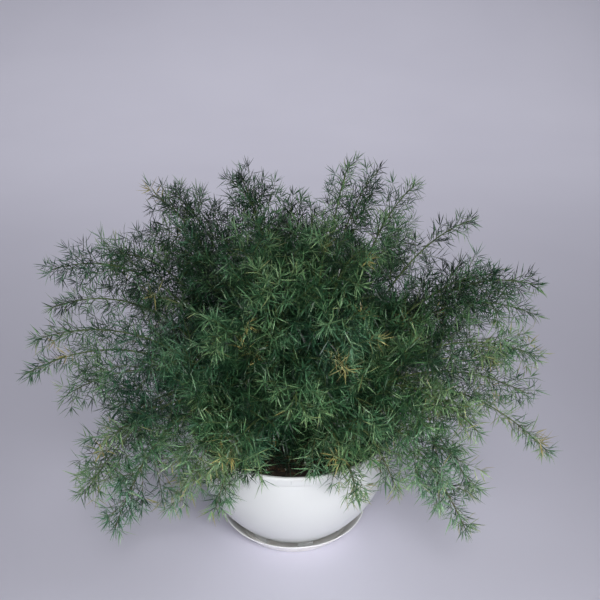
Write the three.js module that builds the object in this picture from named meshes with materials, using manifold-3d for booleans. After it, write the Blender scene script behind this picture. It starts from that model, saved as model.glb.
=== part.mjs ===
// A sprengeri fern growing in a white plastic bowl that stands in its saucer. Millimetres, +Z up.
// The origin is the middle of the saucer's underside, so the object stands on the plane z = 0.
import * as THREE from 'three';
import { mergeVertices } from 'three/addons/utils/BufferGeometryUtils.js';
import Module from 'manifold-3d';

// Pot: a 10 inch bowl. Its wall swells from the foot to a band that stands out round the rim.
const POT_HEIGHT = 151;
const RIM_RADIUS = 127;
const RIM_BAND = 12;
const RIM_LIP = 4;
const RIM_DRAFT = 1;
const RIM_EDGE = 2;
const BOWL_RADIUS = 123.2;
const BOWL_FLOOR = 10.5;
const BOWL_SWELL = 2.5;
const WALL = 2.8;
const FOOT_RADIUS = 67.5;
const FOOT_THICKNESS = 3;
const FOOT_COUNT = 7;
const FOOT_SPAN = 21;
const FOOT_START = 274;
const DRAIN_RADIUS = 5;
const DRAIN_CIRCLE = 46;
const DRAIN_COUNT = 4;
const DRAIN_START = 45;

// Saucer: a shallow dish with a leaning wall.
const SAUCER_RADIUS = 92;
const SAUCER_HEIGHT = 24;
const SAUCER_FLOOR = 2.3;
const SAUCER_WALL = 1.9;
const SAUCER_BASE = 71;

// Soil, and the plain holes that the stems stand in.
const SOIL_TOP = 130;
const HOLE_DEPTH = 8;
const HOLE_EASE = 0.8;
const HOLE_RISE = 4;
const GAP = 0.3;
const ROUND = 32;

// Fronds: three-cornered stems, with knots that carry side twigs and needles.
const CROWN_HEART = 10;
const CROWN_RADIUS = 46;
const CROWN_FULL_REACH = 260;
const CROWN_STAGGER = 9;
const BEND = 0.42;
const SWAY = 0.3;
const STEM_FOOT = 1.7;
const STEM_TIP = 0.9;
const STEM_POINT = 12;
const COLLAR = 0.06;
const TWIG_FOOT = 0.85;
const TWIG_TIP = 0.6;
const TWIG_POINT = 11;
const TWIG_SHORTEST = 14;
const TWIG_FORWARD = 0.2;
const TWIG_DROOP = 0.16;
const KNOT = 2.4;
const NEEDLE = 18.5;
const NEEDLE_DROP = 3;
const GOLDEN_ANGLE = 137.508;
const GOLDEN_SHARE = 0.618034;

// How far twigs and needles lean from what carries them, in degrees, and how that changes towards the tip.
const TWIG_LEAN = 66;
const TWIG_LEAN_DROP = 22;
const STEM_NEEDLE_LEAN = 56;
const TIP_NEEDLE_LEAN = 50;
const WHORL_LEAN = 54;
const WHORL_LEAN_DROP = 12;
const LEAN_SPREAD = 12;

// What each random draw is for, so that no two follow each other.
const DRAW = { shade: 2, whorl: 3, hue: 4, turn: 5, tip: 9, sway: 74 };

// How far each thing is kept from the next, and how a knot is turned and shortened to find room.
const CLEARANCE = 0.45;
const POT_CLEARANCE = 2.5;
const FLOOR_CLEARANCE = 4;
const KNOT_REACH = 8;
const NEEDLE_ROOM = 0.9;
const STEM_BONES = 14;
const TWIG_BONES = 3;
const KNOT_SIZES = [1, 0.8, 0.6];
const KNOT_TURNS = 12;

// Where the knots are, as shares of the way along the stem or twig.
const TWIG_KNOTS = [0.14, 0.3, 0.46, 0.62, 0.78];
const CROWNED_FROM = 2;
const TIP_KNOTS = [0.9, 0.975];
const NEEDLE_KNOTS = [0.45, 0.88];

// The fronds that make the outline: bearing in degrees (0 to the right, 90 to the back), reach, height of the
// tip, height that the arch is pulled to, and length of the longest twigs.
const OUTER_FRONDS = [
  [55, 118, 448, 400, 38],
  [40, 132, 440, 396, 42],
  [29, 164, 422, 392, 46],
  [127, 105, 436, 388, 64],
  [153, 190, 410, 388, 60],
  [143, 191, 405, 385, 55],
  [165, 242, 340, 376, 50],
  [172, 290, 332, 378, 46],
  [180, 282, 300, 346, 22],
  [185, 296, 272, 332, 32],
  [193, 308, 250, 312, 20],
  [194, 264, 222, 304, 48],
  [203, 226, 174, 290, 44],
  [211, 267, 138, 298, 46],
  [220, 252, 112, 288, 46],
  [226, 192, 120, 262, 42],
  [11, 212, 394, 364, 28],
  [5, 238, 334, 352, 34],
  [-5, 274, 340, 360, 42],
  [-6, 274, 306, 350, 44],
  [-13, 278, 270, 332, 46],
  [-17, 274, 232, 310, 44],
  [-23, 306, 180, 288, 16],
  [-28, 232, 200, 300, 40],
  [-34, 240, 140, 285, 40],
  [-41, 250, 110, 275, 38],
  [-56, 198, 164, 258, 30],
  [-65, 166, 148, 240, 44],
  [-117, 182, 138, 241, 32],
  [40, 250, 150, 330, 56],
  [73, 245, 140, 320, 56],
  [107, 250, 150, 325, 56],
  [141, 250, 160, 330, 56],
  [40, 204, 330, 364, 56],
  [93, 205, 316, 352, 56],
  [136, 210, 305, 345, 56],
];

// The other fronds run from one shape to another. A shape is reach, height, arch height and twig length.
const CROWN_FRONDS = 5;
const CROWN_BEARING = 38;
const CROWN_FROM = [25, 412, 406, 58];
const CROWN_TO = [100, 398, 406, 58];
const FRONT_FRONDS = 10;
const FRONT_BEARING = -190;
const FRONT_SPREAD = 200;
const FRONT_OFFSET = 0.8;
const FRONT_FROM = [90, 400, 400, 56];
const FRONT_TO = [160, 170, 240, 56];

const wasm = await Module();
wasm.setup();

const rad = THREE.MathUtils.degToRad;
const UP = new THREE.Vector3(0, 0, 1);

// A number from 0 to 1 that depends on nothing but the two numbers given.
function chance(n, salt) {
  const x = Math.sin(n * 12.9898 + salt * 78.233) * 43758.5453;
  return x - Math.floor(x);
}

// Geometry and solids

function welded(geometry) {
  const bare = geometry.index ? geometry.toNonIndexed() : geometry.clone();
  bare.deleteAttribute('normal');
  bare.deleteAttribute('uv');
  const merged = mergeVertices(bare, 1e-4);
  const corners = merged.index.array;
  const kept = [];
  for (let i = 0; i < corners.length; i += 3) {
    const [a, b, c] = [corners[i], corners[i + 1], corners[i + 2]];
    if (a !== b && b !== c && c !== a) {
      kept.push(a, b, c);
    }
  }
  merged.setIndex(kept);
  return merged;
}

function solid(geometry) {
  const shell = welded(geometry);
  const vertProperties = new Float32Array(shell.attributes.position.array);
  const triVerts = new Uint32Array(shell.index.array);
  return new wasm.Manifold(new wasm.Mesh({ numProp: 3, vertProperties, triVerts }));
}

function fromSolid(body) {
  const mesh = body.getMesh();
  const geometry = new THREE.BufferGeometry();
  geometry.setAttribute('position', new THREE.Float32BufferAttribute(mesh.vertProperties, 3));
  geometry.setIndex(Array.from(mesh.triVerts));
  return geometry;
}

// A body turned about the Z axis from an outline of [radius, height] points that runs from axis to axis.
function turned(outline) {
  const points = outline.map(([radius, height]) => new THREE.Vector2(radius, height));
  const geometry = new THREE.LatheGeometry(points, ROUND);
  return welded(geometry.rotateX(Math.PI / 2));
}

// Pot, saucer and soil

function bowlRadius(height) {
  const share = (height - BOWL_FLOOR) / (POT_HEIGHT - RIM_BAND - BOWL_FLOOR);
  return FOOT_RADIUS + (BOWL_RADIUS - FOOT_RADIUS) * (1 - (1 - share) ** BOWL_SWELL);
}

const BAND_FOOT = POT_HEIGHT - RIM_BAND;
const FLOOR_TOP = BOWL_FLOOR + WALL;
const OUTSIDE_HEIGHTS = [BOWL_FLOOR, 24, 40, 62, 92, BAND_FOOT];
const INSIDE_HEIGHTS = [24, 60, 112];

function footSegment(index) {
  const start = rad(FOOT_START + (360 / FOOT_COUNT) * index);
  const end = start + rad(FOOT_SPAN);
  const shape = new THREE.Shape();
  shape.absarc(0, 0, FOOT_RADIUS - GAP, start, end, false);
  shape.absarc(0, 0, FOOT_RADIUS - FOOT_THICKNESS, end, start, true);
  shape.closePath();
  const bottom = SAUCER_FLOOR + GAP;
  const settings = { depth: BOWL_FLOOR + WALL / 2 - bottom, bevelEnabled: false, curveSegments: 2 };
  return new THREE.ExtrudeGeometry(shape, settings).translate(0, 0, bottom);
}

function drainHole(index) {
  const angle = rad(DRAIN_START + (360 / DRAIN_COUNT) * index);
  const hole = new THREE.CylinderGeometry(DRAIN_RADIUS, DRAIN_RADIUS, 3 * WALL, 8);
  hole.rotateX(Math.PI / 2);
  return hole.translate(DRAIN_CIRCLE * Math.cos(angle), DRAIN_CIRCLE * Math.sin(angle), BOWL_FLOOR);
}

function potGeometry() {
  const outside = OUTSIDE_HEIGHTS.map((height) => [bowlRadius(height), height]);
  const rim = [
    [RIM_RADIUS - RIM_DRAFT, BAND_FOOT + 2 * GAP],
    [RIM_RADIUS, POT_HEIGHT - RIM_EDGE],
    [RIM_RADIUS - RIM_DRAFT, POT_HEIGHT],
    [RIM_RADIUS - RIM_LIP, POT_HEIGHT],
  ];
  const inside = [...INSIDE_HEIGHTS, BAND_FOOT].map((height) => [bowlRadius(height) - WALL, height]);
  const floor = [[bowlRadius(FLOOR_TOP) - WALL, FLOOR_TOP], [0, FLOOR_TOP]];
  let body = solid(turned([[0, BOWL_FLOOR], ...outside, ...rim, ...inside.reverse(), ...floor]));
  for (let i = 0; i < FOOT_COUNT; i++) {
    body = body.add(solid(footSegment(i)));
  }
  for (let i = 0; i < DRAIN_COUNT; i++) {
    body = body.subtract(solid(drainHole(i)));
  }
  return fromSolid(body);
}

function saucerGeometry() {
  return turned([
    [0, 0],
    [SAUCER_BASE, 0],
    [SAUCER_RADIUS, SAUCER_HEIGHT],
    [SAUCER_RADIUS - SAUCER_WALL, SAUCER_HEIGHT],
    [SAUCER_BASE, SAUCER_FLOOR],
    [0, SAUCER_FLOOR],
  ]);
}

function soilGeometry(fronds) {
  const within = (height) => bowlRadius(height) - WALL - 2 * GAP;
  const floor = [[0, FLOOR_TOP + GAP], [within(FLOOR_TOP), FLOOR_TOP + GAP]];
  const wall = INSIDE_HEIGHTS.map((height) => [within(height), height]);
  const top = [[within(INSIDE_HEIGHTS.at(-1)), SOIL_TOP], [0, SOIL_TOP]];
  let body = solid(turned([...floor, ...wall, ...top]));
  for (const frond of fronds) {
    body = body.subtract(solid(stemHole(frond)));
  }
  return fromSolid(body);
}

// Shoots. A skin collects points and faces. A ring has three points round a station on a shoot, and between
// two rings lie three facets. A facet stays flat, is drawn out to a needle, or is the foot of a side twig.

function newSkin() {
  return { points: [], faces: [] };
}

function skinGeometry(skin) {
  const geometry = new THREE.BufferGeometry();
  geometry.setFromPoints(skin.points);
  geometry.setIndex(skin.faces.flat());
  return geometry;
}

function addPoint(skin, point) {
  skin.points.push(point);
  return skin.points.length - 1;
}

// A place on a shoot, with the direction along it and two directions across it.
function station(shoot, share) {
  const along = shoot.curve.getTangent(share);
  const side = shoot.keel.clone().addScaledVector(along, -shoot.keel.dot(along)).normalize();
  const radius = THREE.MathUtils.lerp(shoot.foot, shoot.tip, share);
  return { place: shoot.curve.getPoint(share), along, side, over: along.clone().cross(side), radius };
}

function moved(from, distance) {
  return { ...from, place: from.place.clone().addScaledVector(from.along, distance) };
}

function outward(at, angle) {
  return at.side.clone().multiplyScalar(Math.cos(angle)).addScaledVector(at.over, Math.sin(angle));
}

function leaning(at, angle, lean) {
  const forward = at.along.clone().multiplyScalar(Math.cos(lean));
  return forward.addScaledVector(outward(at, angle), Math.sin(lean));
}

function ring(skin, at, turn) {
  const corners = [];
  for (let k = 0; k < 3; k++) {
    const direction = outward(at, turn + (k * 2 * Math.PI) / 3);
    corners.push(addPoint(skin, at.place.clone().addScaledVector(direction, at.radius)));
  }
  return corners;
}

// The strip of faces between two loops that run the same way round, from one point of the upper loop.
function strip(low, high, start) {
  const faces = [];
  let j = 0;
  low.forEach((a, i) => {
    const nextA = low[(i + 1) % low.length];
    faces.push([a, nextA, high[(start + j) % high.length]]);
    if (j < Math.round(((i + 1) * high.length) / low.length)) {
      faces.push([nextA, high[(start + j + 1) % high.length], high[(start + j) % high.length]]);
      j++;
    }
  });
  return faces;
}

// Joins two loops by the strip with the shortest edges.
function bridge(skin, low, high) {
  const span = (a, b) => skin.points[a].distanceTo(skin.points[b]);
  const size = (faces) => faces.reduce((sum, [a, b, c]) => sum + span(a, b) + span(b, c) + span(c, a), 0);
  const strips = high.map((_, start) => strip(low, high, start));
  strips.sort((p, q) => size(p) - size(q));
  skin.faces.push(...strips[0]);
}

function drawOut(skin, loop, tip) {
  const peak = addPoint(skin, tip);
  loop.forEach((corner, i) => skin.faces.push([corner, loop[(i + 1) % loop.length], peak]));
}

// The turn nearest to the last one that puts the middle of a facet at the angle given, and which facet it is.
function facing(angle, last) {
  const third = (2 * Math.PI) / 3;
  const steps = Math.round((last - (angle - third / 2)) / third);
  const facet = ((-steps % 3) + 3) % 3;
  return { turn: angle - third / 2 + steps * third, facet };
}

// Skins one knot: the facet at the knot's angle carries its twig, and the others its needles, if it has them.
function skinKnot(skin, low, shoot, knot, last) {
  const middle = station(shoot, knot.share);
  const { turn, facet } = facing(knot.angle, last);
  const near = ring(skin, moved(middle, -KNOT / 2), turn);
  const far = ring(skin, moved(middle, KNOT / 2), turn);
  bridge(skin, low, near);
  for (let k = 0; k < 3; k++) {
    const which = (facet + k) % 3;
    const loop = [near[which], near[(which + 1) % 3], far[(which + 1) % 3], far[which]];
    if (k === 0 && knot.twig) {
      skinShoot(skin, loop, knot.twig);
    } else if (knot.needles[k]) {
      drawOut(skin, loop, knot.needles[k]);
    } else {
      skin.faces.push([loop[0], loop[1], loop[2]], [loop[0], loop[2], loop[3]]);
    }
  }
  return { low: far, last: turn };
}

function skinShoot(skin, foot, shoot) {
  let state = { low: foot, last: shoot.turn };
  for (const knot of shoot.knots) {
    state = skinKnot(skin, state.low, shoot, knot, state.last);
  }
  drawOut(skin, state.low, shoot.point);
}

function needleTips(at, angle, lean, length, salt) {
  const tips = [];
  for (let k = 0; k < 3; k++) {
    const around = angle + (k * 2 * Math.PI) / 3;
    const own = length * (0.85 + 0.3 * chance(k, salt));
    const reach = leaning(at, around, lean + rad(LEAN_SPREAD) * (chance(k, salt + 0.37) - 0.5));
    tips.push(at.place.clone().addScaledVector(reach, own));
  }
  return tips;
}

// A side twig: it leaves its knot at an angle, bends forward a little and droops, and has whorls of needles.
function makeTwig(parent, angle, lean, length, salt) {
  const start = leaning(parent, angle, lean);
  const foot = parent.place.clone().addScaledVector(outward(parent, angle), parent.radius / 2);
  const end = start.clone().addScaledVector(parent.along, TWIG_FORWARD).addScaledVector(UP, -TWIG_DROOP);
  const reach = Math.max(length - TWIG_POINT, TWIG_SHORTEST);
  const curve = new THREE.QuadraticBezierCurve3(
    foot,
    foot.clone().addScaledVector(start, reach / 2),
    foot.clone().addScaledVector(end.normalize(), reach),
  );
  const twig = { curve, keel: parent.along.clone(), foot: TWIG_FOOT, tip: TWIG_TIP, turn: 0, knots: [] };
  NEEDLE_KNOTS.forEach((share, i) => {
    const at = station(twig, share);
    const around = rad(60 * i + 360 * chance(salt, DRAW.whorl));
    const lean = rad(WHORL_LEAN - WHORL_LEAN_DROP * i);
    const tips = needleTips(at, around, lean, NEEDLE - NEEDLE_DROP * i, salt + i);
    twig.knots.push({ share, angle: around, needles: tips });
  });
  const last = station(twig, 1);
  twig.point = last.place.clone().addScaledVector(last.along, TWIG_POINT);
  twig.turn = twig.knots[0].angle;
  return twig;
}

// A frond's stem rises from the crown, arches over and comes down to its tip.
function makeStem(number, [bearing, reach, height, crest, width]) {
  const out = new THREE.Vector3(Math.cos(rad(bearing)), Math.sin(rad(bearing)), 0);
  const across = UP.clone().cross(out);
  const spread = Math.min(1, reach / CROWN_FULL_REACH);
  const start = CROWN_HEART + (CROWN_RADIUS - CROWN_HEART) * spread - CROWN_STAGGER * (number % 2);
  const sway = (chance(number, DRAW.sway) - 0.5) * SWAY * reach;
  const foot = out.clone().multiplyScalar(start).setZ(SOIL_TOP);
  const middle = out.clone().multiplyScalar(start + (reach - start) * BEND);
  middle.addScaledVector(across, sway).setZ(crest);
  const end = out.clone().multiplyScalar(reach).setZ(height);
  const curve = new THREE.QuadraticBezierCurve3(foot, middle, end);
  const stem = { number, width, curve, keel: across, foot: STEM_FOOT, tip: STEM_TIP, turn: 0, knots: [] };
  const last = station(stem, 1);
  stem.point = last.place.clone().addScaledVector(last.along, STEM_POINT);
  return stem;
}

function shapeBetween(from, to, share) {
  return from.map((value, i) => value + (to[i] - value) * share);
}

// The fronds of the crown stand nearly upright in the middle. Those of the front fill the side that is seen.
function frondRows() {
  const rows = [...OUTER_FRONDS];
  for (let i = 0; i < CROWN_FRONDS; i++) {
    const shape = shapeBetween(CROWN_FROM, CROWN_TO, (i + 0.5) / CROWN_FRONDS);
    rows.push([GOLDEN_ANGLE * i + CROWN_BEARING, ...shape]);
  }
  for (let i = 0; i < FRONT_FRONDS; i++) {
    const shape = shapeBetween(FRONT_FROM, FRONT_TO, (i + 0.5) / FRONT_FRONDS);
    const bearing = FRONT_BEARING + FRONT_SPREAD * ((GOLDEN_SHARE * i + FRONT_OFFSET) % 1);
    rows.push([bearing, ...shape]);
  }
  return rows;
}

// How long a twig is, by how far along the stem it grows: full in the middle, short at the tip.
function twigLength(width, share) {
  const rise = 0.5 + 0.5 * Math.min(1, share / 0.35);
  const fall = 1 - 0.75 * Math.max(0, (share - 0.5) / 0.5) ** 1.3;
  return width * rise * fall;
}

// Keeping clear. A bone is a straight run of shoot or needle, with the radius that it takes up.

function bone(a, b, radius) {
  const middle = a.clone().add(b).multiplyScalar(0.5);
  return { a, b, radius, middle, half: a.distanceTo(b) / 2 };
}

function shootBones(shoot, steps) {
  const bones = [];
  for (let i = 0; i < steps; i++) {
    const a = station(shoot, i / steps);
    const b = station(shoot, (i + 1) / steps);
    bones.push(bone(a.place, b.place, a.radius));
  }
  bones.push(bone(station(shoot, 1).place, shoot.point, shoot.tip));
  return bones;
}

function knotBones(shoot, knot) {
  const at = station(shoot, knot.share).place;
  const bones = [];
  for (const tip of knot.needles) {
    if (tip) {
      bones.push(bone(at, tip, NEEDLE_ROOM));
    }
  }
  if (knot.twig) {
    bones.push(...shootBones(knot.twig, TWIG_BONES));
    knot.twig.knots.forEach((whorl) => bones.push(...knotBones(knot.twig, whorl)));
  }
  return bones;
}

function betweenBones(p, q) {
  const u = p.b.clone().sub(p.a);
  const v = q.b.clone().sub(q.a);
  const w = p.a.clone().sub(q.a);
  const [uu, uv, vv, uw, vw] = [u.dot(u), u.dot(v), v.dot(v), u.dot(w), v.dot(w)];
  const spread = uu * vv - uv * uv;
  const clamp = (x) => Math.min(1, Math.max(0, x));
  let s = spread > 1e-9 ? clamp((uv * vw - vv * uw) / spread) : 0;
  const t = clamp((uv * s + vw) / vv);
  s = clamp((uv * t - uw) / uu);
  return w.addScaledVector(u, s).addScaledVector(v, -t).length();
}

function bonesClear(mine, others) {
  for (const p of mine) {
    for (const q of others) {
      const room = p.radius + q.radius + CLEARANCE;
      const far = p.middle.distanceTo(q.middle) > p.half + q.half + room;
      if (!far && betweenBones(p, q) < room) {
        return false;
      }
    }
  }
  return true;
}

function outerRadius(height) {
  const wall = height > BAND_FOOT - 2 ? RIM_RADIUS : bowlRadius(Math.max(height, BOWL_FLOOR));
  return height < SAUCER_HEIGHT + POT_CLEARANCE ? Math.max(wall, SAUCER_RADIUS) : wall;
}

function pointClear(p) {
  const radius = Math.hypot(p.x, p.y);
  if (p.z < FLOOR_CLEARANCE) {
    return false;
  }
  if (p.z > POT_HEIGHT + POT_CLEARANCE || radius > outerRadius(p.z) + POT_CLEARANCE) {
    return true;
  }
  return radius < RIM_RADIUS - RIM_LIP - WALL - POT_CLEARANCE && p.z > SOIL_TOP + POT_CLEARANCE;
}

function clearOfPot(bones) {
  return bones.every(({ a, b }) => [0, 0.25, 0.5, 0.75, 1].every((s) => pointClear(a.clone().lerp(b, s))));
}

// Each knot is turned about its stem, and then shortened, until what it carries is clear of everything else.
function placeKnot(stem, makeKnot, taken) {
  const others = taken.filter((b) => !stem.bones.includes(b));
  for (const size of KNOT_SIZES) {
    for (let turn = 0; turn < KNOT_TURNS; turn++) {
      const knot = makeKnot(rad((360 / KNOT_TURNS) * turn), size);
      const mine = knotBones(stem, knot);
      const { place } = station(stem, knot.share);
      const near = stem.bones.filter((b) => b.middle.distanceTo(place) > b.half + KNOT_REACH);
      if (clearOfPot(mine) && bonesClear(mine, others) && bonesClear(mine, near)) {
        stem.knots.push(knot);
        taken.push(...mine);
        return;
      }
    }
  }
}

function sideKnot(stem, index) {
  const share = TWIG_KNOTS[index];
  const salt = stem.number + index / 7;
  const at = station(stem, share);
  return (turn, size) => {
    const angle = rad(GOLDEN_ANGLE * index + 360 * chance(stem.number, DRAW.turn)) + turn;
    const length = size * twigLength(stem.width, share) * (0.9 + 0.25 * chance(index, stem.number));
    const twig = makeTwig(at, angle, rad(TWIG_LEAN - TWIG_LEAN_DROP * share), length, salt);
    const bare = index < CROWNED_FROM;
    const needles = bare ? [] : needleTips(at, angle, rad(STEM_NEEDLE_LEAN), NEEDLE * size, salt);
    needles[0] = null;
    return { share, angle, twig, needles };
  };
}

function tipKnot(stem, index) {
  const share = TIP_KNOTS[index];
  const at = station(stem, share);
  return (turn, size) => {
    const angle = rad(60 * index + 360 * chance(stem.number, DRAW.tip)) + turn;
    const lean = rad(TIP_NEEDLE_LEAN - WHORL_LEAN_DROP * index);
    const length = (NEEDLE - NEEDLE_DROP * index) * size;
    const needles = needleTips(at, angle, lean, length, stem.number + index);
    return { share, angle, needles };
  };
}

function growFronds() {
  const stems = frondRows().map((row, number) => makeStem(number, row));
  const taken = [];
  for (const stem of stems) {
    stem.bones = shootBones(stem, STEM_BONES);
    taken.push(...stem.bones);
  }
  TIP_KNOTS.forEach((share, index) => stems.forEach((stem) => placeKnot(stem, tipKnot(stem, index), taken)));
  for (let index = TWIG_KNOTS.length - 1; index >= 0; index--) {
    stems.forEach((stem) => placeKnot(stem, sideKnot(stem, index), taken));
  }
  stems.forEach((stem) => stem.knots.sort((a, b) => a.share - b.share));
  return stems;
}

// The stem's foot stands in its hole, and its first ring above the soil is turned as the foot is.
function stemFoot(stem, depth, ease) {
  const at = station(stem, 0);
  return { ...moved(at, -depth), radius: at.radius + ease };
}

function frondGeometry(stem) {
  const skin = newSkin();
  const foot = ring(skin, stemFoot(stem, HOLE_DEPTH - 1, 0), 0);
  const collar = ring(skin, station(stem, COLLAR), 0);
  skin.faces.push([foot[2], foot[1], foot[0]]);
  bridge(skin, foot, collar);
  skinShoot(skin, collar, stem);
  return skinGeometry(skin);
}

function stemHole(stem) {
  const skin = newSkin();
  const bottom = ring(skin, stemFoot(stem, HOLE_DEPTH, HOLE_EASE), 0);
  const top = ring(skin, stemFoot(stem, -HOLE_RISE, HOLE_EASE), 0);
  skin.faces.push([bottom[2], bottom[1], bottom[0]], [top[0], top[1], top[2]]);
  bridge(skin, bottom, top);
  return skinGeometry(skin);
}

// The whole object

function named(name, geometry, settings) {
  const mesh = new THREE.Mesh(geometry, new THREE.MeshStandardMaterial({ metalness: 0, ...settings }));
  mesh.name = name;
  return mesh;
}

const WHITE_PLASTIC = { color: 0xf1f2f4, roughness: 0.3 };
const DARK_SOIL = { color: 0x2a211a, roughness: 0.95 };

const stems = growFronds();
const plant = new THREE.Group();
for (const stem of stems) {
  const hue = 0.33 + 0.04 * chance(stem.number, DRAW.shade);
  const color = new THREE.Color().setHSL(hue, 0.36, 0.24 + 0.08 * chance(stem.number, DRAW.hue));
  const name = `frond_${String(stem.number + 1).padStart(2, '0')}`;
  plant.add(named(name, frondGeometry(stem), { color, roughness: 0.55 }));
}

const pottedFern = new THREE.Group();
pottedFern.add(named('saucer', saucerGeometry(), WHITE_PLASTIC));
pottedFern.add(named('pot', potGeometry(), WHITE_PLASTIC));
pottedFern.add(named('soil', soilGeometry(stems), DARK_SOIL));
pottedFern.add(plant);
export default pottedFern;
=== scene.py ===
"""A sprengeri fern growing in a white plastic bowl that stands in its saucer.

Sizes are in millimetres until a piece is finished, and finishing it scales it to metres.
"""
import math
import random

import bmesh
import bpy
from mathutils import Matrix, Vector, noise
from mathutils.geometry import interpolate_bezier


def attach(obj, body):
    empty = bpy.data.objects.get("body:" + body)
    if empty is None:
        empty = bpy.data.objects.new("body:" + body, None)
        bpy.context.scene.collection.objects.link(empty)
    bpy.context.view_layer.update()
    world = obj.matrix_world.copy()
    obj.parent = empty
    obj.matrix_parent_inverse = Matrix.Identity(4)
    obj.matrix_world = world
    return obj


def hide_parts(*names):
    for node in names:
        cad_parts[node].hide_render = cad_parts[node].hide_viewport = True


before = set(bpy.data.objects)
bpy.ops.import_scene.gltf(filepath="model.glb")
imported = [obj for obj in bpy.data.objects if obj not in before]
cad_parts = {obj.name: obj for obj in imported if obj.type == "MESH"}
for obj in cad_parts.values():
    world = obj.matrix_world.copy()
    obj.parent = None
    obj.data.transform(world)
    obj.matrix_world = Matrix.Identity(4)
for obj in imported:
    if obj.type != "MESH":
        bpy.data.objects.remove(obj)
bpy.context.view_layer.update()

# The camera stands in front of the plant and looks down on it, at the photograph's angle. Its focal length,
# height and tilt follow from the ellipses that the rims of the pot and the saucer make in the picture.
EYE = (0.0081, -0.9094, 0.7258)
LOOKS_DOWN = math.radians(24.55)
SENSOR_WIDTH = 36
FOCAL_LENGTH = 51.6

camera_data = bpy.data.cameras.new("camera")
camera_data.sensor_width = SENSOR_WIDTH
camera_data.lens = FOCAL_LENGTH
camera = bpy.data.objects.new("camera", camera_data)
camera.location = EYE
camera.rotation_euler = (math.radians(90) - LOOKS_DOWN, 0, 0)
bpy.context.scene.collection.objects.link(camera)
bpy.context.scene.camera = camera


# The sweep is a sheet of pale lilac-grey backing paper. It lies flat under the plant and curves up far
# behind it.
PAPER_REACH = 8.0
PAPER_BEND_AT = 1.9
PAPER_BEND = 2.4
PAPER_TOP = 6.0
PAPER_BEND_STEPS = 24
PAPER_DARK = (0.600, 0.592, 0.690, 1)
PAPER_PALE = (0.640, 0.632, 0.730, 1)


def new_material(name):
    material = bpy.data.materials.new(name)
    material.use_nodes = True
    nodes = material.node_tree.nodes
    return material, nodes, material.node_tree.links, nodes["Principled BSDF"]


def finish(bm, name, *materials):
    """Turns a bmesh into an object of that name, and gives it its materials."""
    mesh = bpy.data.meshes.new(name)
    bm.to_mesh(mesh)
    bm.free()
    for material in materials:
        mesh.materials.append(material)
    piece = bpy.data.objects.new(name, mesh)
    bpy.context.scene.collection.objects.link(piece)
    return piece


def paper_material():
    material, nodes, links, shader = new_material("backing_paper")
    coords = nodes.new("ShaderNodeTexCoord")
    clouds = nodes.new("ShaderNodeTexNoise")
    clouds.inputs["Scale"].default_value = 1.4
    clouds.inputs["Detail"].default_value = 3
    tint = nodes.new("ShaderNodeValToRGB")
    tint.color_ramp.elements[0].position = 0.3
    tint.color_ramp.elements[0].color = PAPER_DARK
    tint.color_ramp.elements[1].position = 0.75
    tint.color_ramp.elements[1].color = PAPER_PALE
    links.new(coords.outputs["Object"], clouds.inputs["Vector"])
    links.new(clouds.outputs["Fac"], tint.inputs["Fac"])
    links.new(tint.outputs["Color"], shader.inputs["Base Color"])
    shader.inputs["Roughness"].default_value = 0.9
    shader.inputs["Specular IOR Level"].default_value = 0.15
    return material


bm = bmesh.new()
front = [bm.verts.new((x, -PAPER_REACH, 0)) for x in (-PAPER_REACH, PAPER_REACH)]
line = [bm.edges.new(front)]
laid = bmesh.ops.extrude_edge_only(bm, edges=line)["geom"]
far = [part for part in laid if isinstance(part, bmesh.types.BMVert)]
bmesh.ops.translate(bm, vec=(0, PAPER_REACH + PAPER_BEND_AT, 0), verts=far)
far_edge = [part for part in laid if isinstance(part, bmesh.types.BMEdge)]
turned = bmesh.ops.spin(
    bm,
    geom=far + [e for e in far_edge if all(v in far for v in e.verts)],
    cent=(0, PAPER_BEND_AT, PAPER_BEND),
    axis=(1, 0, 0),
    angle=math.radians(90),
    steps=PAPER_BEND_STEPS,
)
raised = [part for part in turned["geom_last"] if isinstance(part, bmesh.types.BMEdge)]
wall = bmesh.ops.extrude_edge_only(bm, edges=raised)["geom"]
wall_top = [part for part in wall if isinstance(part, bmesh.types.BMVert)]
bmesh.ops.translate(bm, vec=(0, 0, PAPER_TOP - PAPER_BEND), verts=wall_top)
for face in bm.faces:
    face.smooth = True
sweep = finish(bm, "sweep", paper_material())


# Light comes from four softboxes and a pale room. The key and a broad fill stand in front of the plant, and
# the side box at its right. A long box hangs overhead and lights the paper behind.


def softbox(name, place, size, power, spread, aim):
    light = bpy.data.lights.new(name, "AREA")
    light.shape = "RECTANGLE"
    light.size, light.size_y = size
    light.energy = power
    light.spread = math.radians(spread)
    holder = bpy.data.objects.new(name, light)
    holder.location = place
    holder.rotation_euler = (Vector(aim) - Vector(place)).to_track_quat("-Z", "Y").to_euler()
    bpy.context.scene.collection.objects.link(holder)


softbox("key_box", (0.1, -1.15, 1.05), size=(0.5, 0.5), power=0.95, spread=47, aim=(0, -0.2, 0))
softbox("side_box", (0.95, -1.1, 0.6), size=(0.4, 0.4), power=1.2, spread=60, aim=(0, 0, 0.2))
softbox("front_box", (-0.15, -1.5, 0.3), size=(1.5, 0.9), power=9.5, spread=180, aim=(0, 0, 0.05))
softbox("paper_box", (0, 1.0, 3.6), size=(3.6, 1.2), power=33, spread=94, aim=(0, 2.2, 0.5))

ROOM_COLOUR = (0.92, 0.93, 1.0, 1)
ROOM_STRENGTH = 0.15

room = bpy.data.worlds.new("room")
room.use_nodes = True
room.node_tree.nodes["Background"].inputs["Color"].default_value = ROOM_COLOUR
room.node_tree.nodes["Background"].inputs["Strength"].default_value = ROOM_STRENGTH
bpy.context.scene.world = room
bpy.context.scene.view_settings.view_transform = "Standard"


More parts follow.
